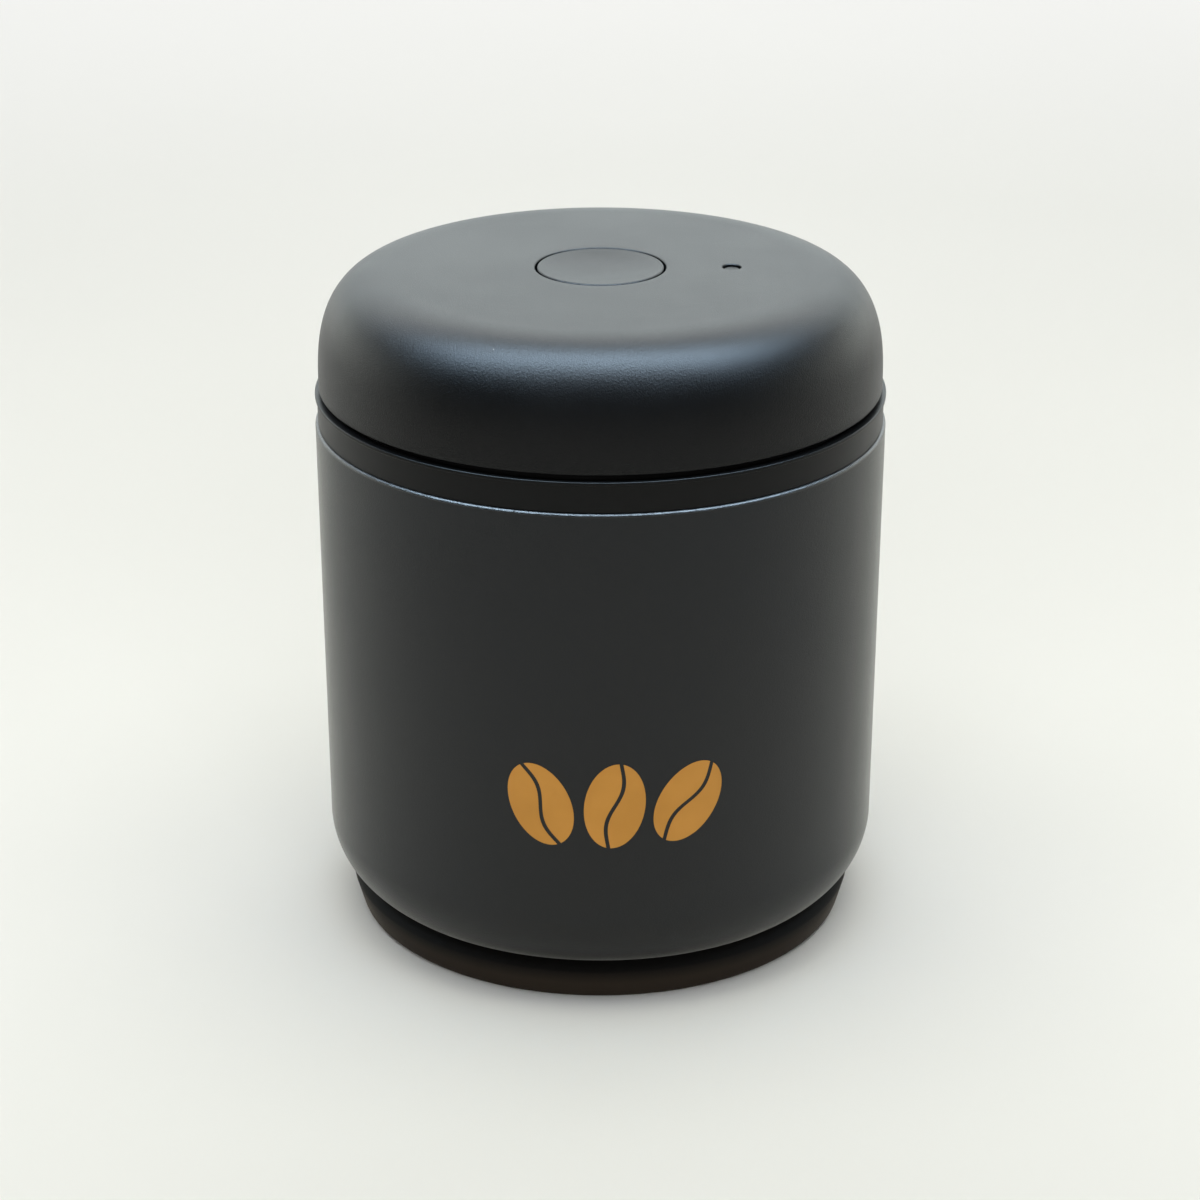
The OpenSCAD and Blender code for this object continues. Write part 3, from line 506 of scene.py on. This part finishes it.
def collar_and_plug():
    """The still part of the lid: collar band, lip, hidden channel and plug."""
    plug_z = RIM_Z - PLUG_DEPTH
    deck_z = plug_z + PLUG_FLOOR
    groove_z = RIM_Z - GROOVE_DROP - GROOVE_H
    flange_t = 1.0
    flange_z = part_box("upper_cam_ring")[1].z / MM - flange_t
    ledge_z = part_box("lower_cam_ring")[0].z / MM
    channel_r = COLLAR_R - COLLAR_WALL
    in_r = PLUG_R - PLUG_WALL
    outline = rounded([
        (HUB_R, deck_z - BEARING_H, 0.3),
        (BEARING_R, deck_z - BEARING_H, 0.4),
        (BEARING_R, plug_z, 0.6),
        (SKIRT_R - SKIRT_WALL, plug_z, 0.5),
        (SKIRT_R - SKIRT_WALL, plug_z - SKIRT_H, 0.3),
        (SKIRT_R, plug_z - SKIRT_H, 0.4),
        (SKIRT_R, plug_z, 0.3),
        (PLUG_R, plug_z, 2.0),
        (PLUG_R, groove_z, 0.2),
        (PLUG_R - GROOVE_DEPTH, groove_z),
        (PLUG_R - GROOVE_DEPTH, groove_z + GROOVE_H),
        (PLUG_R, groove_z + GROOVE_H, 0.2),
        (PLUG_R, RIM_Z, 0.25),
        (COLLAR_R, RIM_Z, 0.3),
        (COLLAR_R, LIP_Z - LIP_H, 0.15),
        (COLLAR_R + LIP_OUT, LIP_Z - LIP_H, 0.2),
        (COLLAR_R + LIP_OUT, LIP_Z, 0.22),
        (channel_r, LIP_Z, 0.25),
        (channel_r, RIM_Z + WEB_T, 0.3),
        (PLUG_R, RIM_Z + WEB_T, 0.3),
        (PLUG_R, flange_z, 0.2),
        (in_r, flange_z, 0.2),
        (in_r, ledge_z),
        (in_r - CAM_LEDGE, ledge_z, 0.2),
        (in_r - CAM_LEDGE, deck_z, 0.8),
        (HUB_R, deck_z, 0.2)])
    piece = link("collar_and_plug", lathe("collar", outline), "lid_base", "collar_plastic", COLLAR)
    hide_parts("lid_base")


def shoulder(grow):
    """The cap's superellipse shoulder, from its side up to its flat top."""
    steps = 72
    points = []
    for i in range(steps + 1):
        t = math.pi / 2 * i / steps
        points.append((FLAT_R + (SHOULDER_W + grow) * math.cos(t) ** (2 / SHOULDER_N),
                       FLAT_Z - SHOULDER_H + (SHOULDER_H + grow) * math.sin(t) ** (2 / SHOULDER_N)))
    return points


def quarter(steps):
    """Angles from nothing to a right angle."""
    return (math.pi / 2 * k / steps for k in range(steps + 1))


def dome():
    """The turning cap: shoulder, button well and indicator hole."""
    well_r = BUTTON_R + BUTTON_GROOVE
    well_edge = 0.35
    well_z = FLAT_Z - WELL_DEPTH
    stem_r = 2.6
    skirt_face = 1.1
    outer = rounded([(DOME_R - DOME_WALL, SKIRT_EDGE_Z, 0.3), (DOME_R, SKIRT_EDGE_Z, 0.12),
                     (DOME_R, SKIRT_EDGE_Z + skirt_face)])[:-1]
    top = [(r, top_z(r)) for r in (39, 36, 33, 30, 27, 24, 21, 18, 16)]
    lip = [(well_r + well_edge * (1 - math.sin(a)), top_z(well_r) - well_edge * (1 - math.cos(a)))
           for a in quarter(6)]
    well = [(well_r, well_z), (stem_r, well_z), (stem_r, well_z - WELL_FLOOR),
            (well_r + WELL_WALL, well_z - WELL_FLOOR)]
    roof = [(well_r + WELL_WALL, top_z(20) - DOME_WALL)]
    under = shoulder(-DOME_WALL)[::-1]
    outline = outer + shoulder(0) + top + lip + well + roof + under
    piece = link("cap_dome", lathe("dome", outline), "twist_cap", "cap_plastic", CAP)
    # the hole flares where it meets the top
    flare = 0.3
    hole_depth = 9
    past = 2
    hole_z = top_z(INDICATOR_X)
    hole = [(0, hole_z - hole_depth), (INDICATOR_HOLE_R, hole_z - hole_depth)]
    hole += [(INDICATOR_HOLE_R + flare * (1 - math.cos(a)), hole_z - flare * (1 - math.sin(a)))
             for a in quarter(5)]
    hole += [(INDICATOR_HOLE_R + flare, hole_z + past), (0, hole_z + past)]
    cut(piece, lathe("hole", hole, 64, centre=(INDICATOR_X, 0)))
    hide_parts("lid_shell")


def button():
    """The dished push button and the socket that holds its stem."""
    top = top_z(BUTTON_R)
    roof = top - DISH_DEPTH - BUTTON_WALL
    base = top - BUTTON_H
    in_r = BUTTON_R - BUTTON_WALL
    outline = rounded([
        (0, roof + 0.01),
        (in_r, roof, 0.5),
        (in_r, base, 0.3),
        (BUTTON_R, base, 0.3),
        (BUTTON_R, top, 0.4),
        (BUTTON_R - 0.6, top)])
    dish_r = BUTTON_R - DISH_RIM
    ball_r = (dish_r ** 2 + DISH_DEPTH ** 2) / (2 * DISH_DEPTH)
    steps = 30
    dish = [(dish_r + 0.25, top - 0.02)]
    for i in range(1, steps + 1):
        r = dish_r * (1 - i / steps)
        dish.append((r, top - DISH_DEPTH + ball_r - math.sqrt(ball_r ** 2 - r ** 2)))
    piece = link("button_cap", lathe("button", outline + dish, 192), "button", "cap_plastic", CAP)
    socket_r = 3.6
    stem_r = 2.0
    socket_top = roof + 0.3
    socket = rounded([(stem_r, base, 0.2), (socket_r, base, 0.3),
                      (socket_r, socket_top), (stem_r, socket_top)])
    collar = link("button_socket", lathe("socket", socket, 64), "button", "cap_plastic", CAP)
    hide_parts("release_button")
    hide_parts("release_button")


def gasket():
    """The silicone ring round the plug, with two soft lips."""
    play = 0.02
    back_r = PLUG_R - GROOVE_DEPTH + play
    root_r = PLUG_R + 0.8
    low_z = RIM_Z - GROOVE_DROP - GROOVE_H
    high_z = low_z + GROOVE_H
    lip_r = can_r(low_z) - CAN_WALL - 0.3
    corners = [(back_r, low_z + play), (root_r, low_z + play, 0.3)]
    for share in (0.3, 0.75):
        z = low_z + GROOVE_H * share
        corners += [(root_r, z - 0.3, 0.2), (lip_r, z - 0.9, 0.15),
                    (lip_r, z - 0.4, 0.15), (root_r, z + 1, 0.2)]
    corners += [(root_r, high_z - play, 0.2), (back_r, high_z - play)]
    piece = link("lip_gasket", lathe("gasket", rounded(corners)), "lid_base", "silicone", SILICONE)
    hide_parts("main_gasket")


def coil(name, centre_x, radius, wire_r, low, high, turns):
    """A closed mesh of round wire wound between two heights, in millimetres."""
    sides = 12
    rings_per_turn = 36
    crisp_deg = 50
    rings = turns * rings_per_turn
    bm = bmesh.new()
    loops = []
    for i in range(rings + 1):
        turn = 2 * math.pi * turns * i / rings
        z = low + wire_r + (high - low - 2 * wire_r) * i / rings
        loop = []
        for k in range(sides):
            a = 2 * math.pi * k / sides
            r = radius + wire_r * math.cos(a)
            point = Vector((centre_x + r * math.cos(turn), r * math.sin(turn), z + wire_r * math.sin(a)))
            loop.append(bm.verts.new(point * MM))
        loops.append(loop)
    for here, ahead in zip(loops, loops[1:]):
        for k in range(sides):
            m = (k + 1) % sides
            bm.faces.new((here[k], here[m], ahead[m], ahead[k]))
    bm.faces.new(loops[0])
    bm.faces.new(loops[-1])
    bmesh.ops.recalc_face_normals(bm, faces=bm.faces)
    mesh = bpy.data.meshes.new(name)
    bm.to_mesh(mesh)
    bm.free()
    smooth(mesh, crisp_deg)
    return mesh


def springs():
    """The coils under the button and the indicator."""
    for node, joint, wire_r, turns, travel in (
            ("button_spring", "button_press", BUTTON_WIRE / 2, BUTTON_TURNS, BUTTON_TRAVEL),
            ("indicator_spring", "indicator_travel",
             INDICATOR_WIRE / 2, INDICATOR_TURNS, INDICATOR_TRAVEL)):
        low, high = (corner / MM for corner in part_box(node))
        centre_x = (low.x + high.x) / 2
        radius = (high.y - low.y) / 2 - wire_r
        mesh = coil(node, centre_x, radius, wire_r, low.z, high.z, turns)
        piece = link(node + "_coil", mesh, "twist_cap", "steel", STEEL)
        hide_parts(node)
        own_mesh(piece)


def bean_print():
    """Three plain coffee beans in amber ink, laid on the front of the can."""
    middle_deg = -90 + 2.8
    centre_z = 48.5
    film = 0.03
    half_w = 6.3
    half_h = 9.6
    slit = 0.85
    bend = 1.25
    rows = 72
    columns = 10
    bm = bmesh.new()

    def on_can(u, v):
        z = centre_z + v
        r = can_r(z) + film
        a = math.radians(middle_deg) + u / r
        return Vector((r * math.cos(a), r * math.sin(a), z)) * MM

    def bean(offset, tilt_deg):
        c = math.cos(math.radians(tilt_deg))
        s = math.sin(math.radians(tilt_deg))
        for side in (-1, 1):
            grid = []
            for i in range(rows + 1):
                t = math.sin((-1 + 2 * i / rows) * math.pi / 2)
                v = half_h * t
                edge = side * half_w * math.sqrt(max(0, 1 - t * t))
                crease = bend * math.sin(math.pi * t) * (1 - 0.25 * t * t) + side * slit / 2
                if side * crease > side * edge:
                    crease = edge
                across = (crease + (edge - crease) * k / columns for k in range(columns + 1))
                grid.append([bm.verts.new(on_can(offset + c * u - s * v, s * u + c * v)) for u in across])
            for i in range(rows):
                for k in range(columns):
                    corners = (grid[i][k], grid[i][k + 1], grid[i + 1][k + 1], grid[i + 1][k])
                    bm.faces.new(corners)

    spacing = 15.4
    for place, tilt_deg in ((-1, 24), (0, -8), (1, -32)):
        bean(place * spacing, tilt_deg)
    bmesh.ops.remove_doubles(bm, verts=bm.verts, dist=0.002 * MM)
    bmesh.ops.dissolve_degenerate(bm, dist=0.001 * MM, edges=bm.edges)
    bmesh.ops.recalc_face_normals(bm, faces=bm.faces)
    for face in bm.faces:
        outward = face.calc_center_median()
        outward.z = 0
        if face.normal.dot(outward) < 0:
            face.normal_flip()
    mesh = bpy.data.meshes.new("bean_print")
    bm.to_mesh(mesh)
    bm.free()
    smooth(mesh)
    link("bean_print", mesh, "canister", "print", INK)


# Stage, light and camera

PALE = 0.93
PALE_TINT = (1.0, 1.0, 0.98, 1)
ROOM_FILL = 0.05


def seen_pale(tree, place):
    """1 for camera and clear rays, and for gloss behind the object, fading to 0 in front of it."""
    front_y = 0.3
    back_y = 0.95

    def math_node(operation, first, second):
        node = tree.nodes.new("ShaderNodeMath")
        node.operation = operation
        tree.links.new(first, node.inputs[0])
        tree.links.new(second, node.inputs[1])
        return node.outputs[0]

    axes = tree.nodes.new("ShaderNodeSeparateXYZ")
    tree.links.new(place, axes.inputs["Vector"])
    behind = tree.nodes.new("ShaderNodeMapRange")
    behind.inputs["From Min"].default_value = front_y
    behind.inputs["From Max"].default_value = back_y
    tree.links.new(axes.outputs["Y"], behind.inputs["Value"])
    path = tree.nodes.new("ShaderNodeLightPath")
    gloss = math_node("MULTIPLY", path.outputs["Is Glossy Ray"], behind.outputs["Result"])
    clear = math_node("MAXIMUM", path.outputs["Is Camera Ray"], path.outputs["Is Transmission Ray"])
    return math_node("MAXIMUM", clear, gloss)


def stage():
    """A pale floor that carries on past every edge of the picture."""
    half = 6.0
    near = 0.6
    away = 1.3
    bm = bmesh.new()
    bm.faces.new([bm.verts.new((x * half, y * half, 0)) for x, y in ((-1, -1), (1, -1), (1, 1), (-1, 1))])
    mesh = bpy.data.meshes.new("floor")
    bm.to_mesh(mesh)
    bm.free()
    floor = bpy.data.objects.new("floor", mesh)
    bpy.context.scene.collection.objects.link(floor)
    n = Nodes("floor")
    n.shade({"Roughness": 0.9, "Specular IOR Level": 0})
    n.paint(n.tone(n.noise(300), (0.795, 0.803, 0.780), (0.812, 0.820, 0.797)))
    # far from the object the floor carries on at one pale level, and near it keeps its shadow
    glow = n.add("ShaderNodeEmission", Color=PALE_TINT, Strength=PALE)
    reach = n.add("ShaderNodeVectorMath", operation="LENGTH")
    n.join(n.place, "Object", reach, 0)
    far = n.remap(reach, "Value", near, away, 0, 1)
    seen = n.add("ShaderNodeMath", operation="MULTIPLY")
    n.tree.links.new(seen_pale(n.tree, n.place.outputs["Object"]), seen.inputs[0])
    n.join(far, "Result", seen, 1)
    blend = n.add("ShaderNodeMixShader")
    n.join(seen, 0, blend, "Fac")
    n.join(n.bsdf, "BSDF", blend, 1)
    n.join(glow, "Emission", blend, 2)
    n.join(blend, "Shader", n.out, "Surface")
    mesh.materials.append(n.material)


def lamp(name, place, target, size, power, colour=(1, 1, 1), gloss=True, light=True):
    """A soft rectangular lamp that looks at a point. Without light it adds a reflection alone."""
    data = bpy.data.lights.new(name, "AREA")
    data.shape = "RECTANGLE"
    data.size, data.size_y = size
    data.energy = power
    data.color = colour
    piece = bpy.data.objects.new(name, data)
    bpy.context.scene.collection.objects.link(piece)
    piece.location = place
    piece.rotation_euler = (Vector(target) - Vector(place)).to_track_quat("-Z", "Y").to_euler()
    piece.visible_diffuse = light
    piece.visible_glossy = gloss


def lights():
    """Softboxes overhead and in front, one for the far floor, and cards that only gloss reflects."""
    lamp("overhead", (0, -0.03, 0.95), (0, -0.03, 0), (1.2, 0.6), 6.4, (1.0, 1.0, 0.90))
    lamp("front_top", (0, -0.5, 1.2), (0, -0.1, 0), (1.2, 0.5), 2.8, (0.88, 0.90, 1.0))
    lamp("front_fill", (0, -1.7, 0.8), (0, 0, 0), (1.6, 0.8), 16, gloss=False)
    lamp("far_floor", (0, 1.5, 1.3), (0, 1.45, 0), (3.0, 0.9), 30)
    lamp("sky_card", (0, -0.1, 1.25), (0, -0.05, 0), (2.25, 0.6), 112, (0.56, 0.775, 1.0),
         light=False)
    lamp("back_card", (0, 2.0, 1.0), (0, 0, 0.1), (3.6, 1.6), 23, (0.80, 0.97, 1.0), light=False)
    for name, side in (("left_card", -1), ("right_card", 1)):
        lamp(name, (1.2 * side, 0.7, 0.25), (0, 0, 0.05), (1.6, 0.5), 5, (0.95, 1.0, 0.93),
             light=False)


def backdrop():
    """A pale room all round, dim in front for gloss, which gives only a little even light."""
    world = bpy.data.worlds.new("world")
    bpy.context.scene.world = world
    world.use_nodes = True
    tree = world.node_tree
    place = tree.nodes.new("ShaderNodeTexCoord")
    level = tree.nodes.new("ShaderNodeMapRange")
    level.inputs["To Min"].default_value = ROOM_FILL
    level.inputs["To Max"].default_value = PALE
    tree.links.new(seen_pale(tree, place.outputs["Generated"]), level.inputs["Value"])
    tree.links.new(level.outputs["Result"], tree.nodes["Background"].inputs["Strength"])
    tree.nodes["Background"].inputs["Color"].default_value = PALE_TINT


def camera():
    """The photo's viewpoint: 0.67 m in front and 0.35 m up, looking 22 degrees down."""
    data = bpy.data.cameras.new("camera")
    focal_px = 3290
    image_px = 1200
    data.sensor_width = 36
    data.lens = focal_px * data.sensor_width / image_px
    piece = bpy.data.objects.new("camera", data)
    bpy.context.scene.collection.objects.link(piece)
    piece.location = (-0.0001, -0.668, 0.345)
    pitch_down = 22.42
    piece.rotation_euler = (math.radians(90 - pitch_down), 0, 0)
    bpy.context.scene.camera = piece


camera()
stage()
lights()
backdrop()
dress_nodes()
can()
foot()
collar_and_plug()
gasket()
dome()
button()
springs()
bean_print()

bpy.context.scene.view_settings.view_transform = "Standard"
